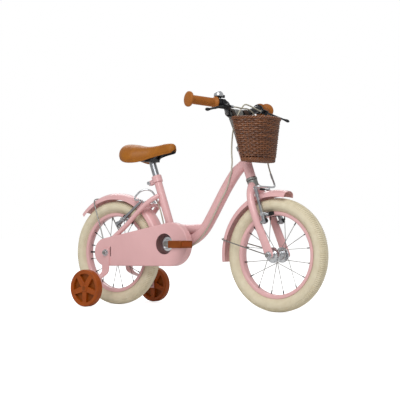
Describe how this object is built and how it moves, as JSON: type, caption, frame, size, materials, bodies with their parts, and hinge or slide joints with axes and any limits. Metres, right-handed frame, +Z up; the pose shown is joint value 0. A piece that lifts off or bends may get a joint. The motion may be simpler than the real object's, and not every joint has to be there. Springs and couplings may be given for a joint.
{
  "type": "kids bike",
  "caption": "Small child's bicycle with step-through frame, training wheels, full mudguards, chain guard, front basket, bell and rim brakes.",
  "frame": {"origin": "on the ground under the middle of the bike's length, in its plane of symmetry", "axes": "+X forward, +Y to the rider's left, +Z up"},
  "size_m": [0.9854, 0.4602, 0.676],
  "materials": {
    "pink_paint": "satin dusty pink enamel",
    "cream_rubber": "dull cream rubber with a moulded tread",
    "tan_leather": "tan leather look, slightly glossy, stitched",
    "brown_plastic": "orange brown moulded plastic",
    "black_plastic": "black moulded plastic",
    "black_steel": "satin black enamel on steel",
    "bright_steel": "bright plated steel",
    "dull_steel": "dull zinc plated steel",
    "wicker": "dark brown woven wicker",
    "grey_housing": "light grey cable housing"
  },
  "bodies": {
    "frame": {"bottom_bracket_cup_left": "bright_steel", "bottom_bracket_cup_right": "bright_steel", "chain": "dull_steel", "chain_guard": "pink_paint", "frame": "pink_paint", "headset_lower_cup": "bright_steel", "headset_upper_cup": "bright_steel", "rear_axle": "dull_steel", "rear_axle_nut_left": "bright_steel", "rear_axle_nut_right": "bright_steel", "rear_brake_cable": "grey_housing", "rear_fender": "pink_paint", "rear_fender_stay": "bright_steel", "seat_clamp": "pink_paint", "training_bolt_left": "bright_steel", "training_bolt_right": "bright_steel", "training_bracket_left": "pink_paint", "training_bracket_right": "pink_paint"},
    "steering": {"basket": "wicker", "basket_strap_left": "tan_leather", "basket_strap_right": "tan_leather", "bell_base": "black_plastic", "bell_dome": "bright_steel", "brake_lever_bracket_left": "black_plastic", "brake_lever_bracket_right": "black_plastic", "fork": "pink_paint", "front_axle": "dull_steel", "front_axle_nut_left": "bright_steel", "front_axle_nut_right": "bright_steel", "front_brake_cable": "grey_housing", "front_fender": "pink_paint", "front_fender_stay": "bright_steel", "grip_left": "tan_leather", "grip_right": "tan_leather", "handlebar": "black_steel", "rear_brake_lead": "grey_housing", "stem": "bright_steel"},
    "seat": {"saddle": "tan_leather", "saddle_base": "black_plastic", "seat_post": "bright_steel"},
    "crank": {"chainring": "bright_steel", "crank": "bright_steel"},
    "freewheel": {"rear_sprocket": "dull_steel"},
    "rear_wheel": {"rear_hub": "bright_steel", "rear_rim": "pink_paint", "rear_tyre": "cream_rubber"},
    "front_wheel": {"front_hub": "bright_steel", "front_rim": "pink_paint", "front_tyre": "cream_rubber"},
    "bell_striker": {"bell_striker": "black_plastic"},
    "front_brake_arm_left": {"front_brake_arm_left": "bright_steel"},
    "front_brake_arm_right": {"front_brake_arm_right": "bright_steel"},
    "lever_left": {"brake_lever_left": "black_plastic"},
    "lever_right": {"brake_lever_right": "black_plastic"},
    "pedal_left": {"pedal_left": "brown_plastic"},
    "pedal_right": {"pedal_right": "brown_plastic"},
    "rear_brake_arm_left": {"rear_brake_arm_left": "bright_steel"},
    "rear_brake_arm_right": {"rear_brake_arm_right": "bright_steel"},
    "training_wheel_left": {"training_wheel_left": "brown_plastic"},
    "training_wheel_right": {"training_wheel_right": "brown_plastic"}
  },
  "joints": [
    {"name": "steering_turn", "type": "hinge", "parent": "frame", "child": "steering", "pos_m": [0.2213, 0, 0.412], "axis": [-0.342, 0, 0.9397], "range_deg": [-45, 45], "deforming": ["rear_brake_lead"]},
    {"name": "front_wheel_spin", "type": "hinge", "parent": "steering", "child": "front_wheel", "pos_m": [0.3187, 0, 0.174], "axis": [0, 1, 0], "continuous": true},
    {"name": "rear_wheel_spin", "type": "hinge", "parent": "frame", "child": "rear_wheel", "pos_m": [-0.3187, 0, 0.174], "axis": [0, 1, 0], "continuous": true},
    {"name": "crank_spin", "type": "hinge", "parent": "frame", "child": "crank", "pos_m": [-0.0732, 0, 0.205], "axis": [0, 1, 0], "continuous": true},
    {"name": "freewheel_spin", "type": "hinge", "parent": "frame", "child": "freewheel", "pos_m": [-0.3187, 0, 0.174], "axis": [0, 1, 0], "continuous": true},
    {"name": "pedal_left_spin", "type": "hinge", "parent": "crank", "child": "pedal_left", "pos_m": [-0.1752, 0.1105, 0.205], "axis": [0, 1, 0], "continuous": true},
    {"name": "pedal_right_spin", "type": "hinge", "parent": "crank", "child": "pedal_right", "pos_m": [0.0288, -0.1105, 0.205], "axis": [0, 1, 0], "continuous": true},
    {"name": "training_wheel_left_spin", "type": "hinge", "parent": "frame", "child": "training_wheel_left", "pos_m": [-0.3027, 0.177, 0.0609], "axis": [0, 1, 0], "continuous": true},
    {"name": "training_wheel_right_spin", "type": "hinge", "parent": "frame", "child": "training_wheel_right", "pos_m": [-0.3027, -0.177, 0.0609], "axis": [0, 1, 0], "continuous": true},
    {"name": "seat_height", "type": "slide", "parent": "frame", "child": "seat", "axis": [-0.3453, 0, 0.9385], "range_m": [-0.035, 0.04]},
    {"name": "lever_left_squeeze", "type": "hinge", "parent": "steering", "child": "lever_left", "pos_m": [0.20273, 0.11241, 0.62499], "axis": [0.422, 0.1021, 0.9008], "range_deg": [0, 20], "stiffness_Nm_per_rad": 1.5, "springref_deg": -11.46},
    {"name": "lever_right_squeeze", "type": "hinge", "parent": "steering", "child": "lever_right", "pos_m": [0.20273, -0.11241, 0.62499], "axis": [-0.422, 0.1021, -0.9008], "range_deg": [0, 20], "stiffness_Nm_per_rad": 1.5, "springref_deg": -11.46},
    {"name": "front_brake_left_close", "type": "hinge", "parent": "steering", "child": "front_brake_arm_left", "pos_m": [0.3033, 0.048, 0.278], "axis": [0.9241, 0, 0.382], "range_deg": [0, 2.4]},
    {"name": "front_brake_right_close", "type": "hinge", "parent": "steering", "child": "front_brake_arm_right", "pos_m": [0.3033, -0.048, 0.278], "axis": [-0.9241, 0, -0.382], "range_deg": [0, 2.4]},
    {"name": "rear_brake_left_close", "type": "hinge", "parent": "frame", "child": "rear_brake_arm_left", "pos_m": [-0.27706, 0.0494, 0.26808], "axis": [0.6542, 0, -0.7563], "range_deg": [0, 2.4]},
    {"name": "rear_brake_right_close", "type": "hinge", "parent": "frame", "child": "rear_brake_arm_right", "pos_m": [-0.27706, -0.0494, 0.26808], "axis": [-0.6542, 0, 0.7563], "range_deg": [0, 2.4]},
    {"name": "bell_strike", "type": "hinge", "parent": "steering", "child": "bell_striker", "pos_m": [0.18372, -0.11245, 0.65393], "axis": [0.0203, 0.0543, 0.9983], "range_deg": [-20, 45], "stiffness_Nm_per_rad": 0.02}
  ],
  "couplings": [
    {"joint": "freewheel_spin", "follows": "crank_spin", "ratio": 1.75},
    {"joint": "front_brake_left_close", "follows": "lever_right_squeeze", "ratio": 0.12},
    {"joint": "front_brake_right_close", "follows": "lever_right_squeeze", "ratio": 0.12},
    {"joint": "rear_brake_left_close", "follows": "lever_left_squeeze", "ratio": 0.12},
    {"joint": "rear_brake_right_close", "follows": "lever_left_squeeze", "ratio": 0.12}
  ]
}
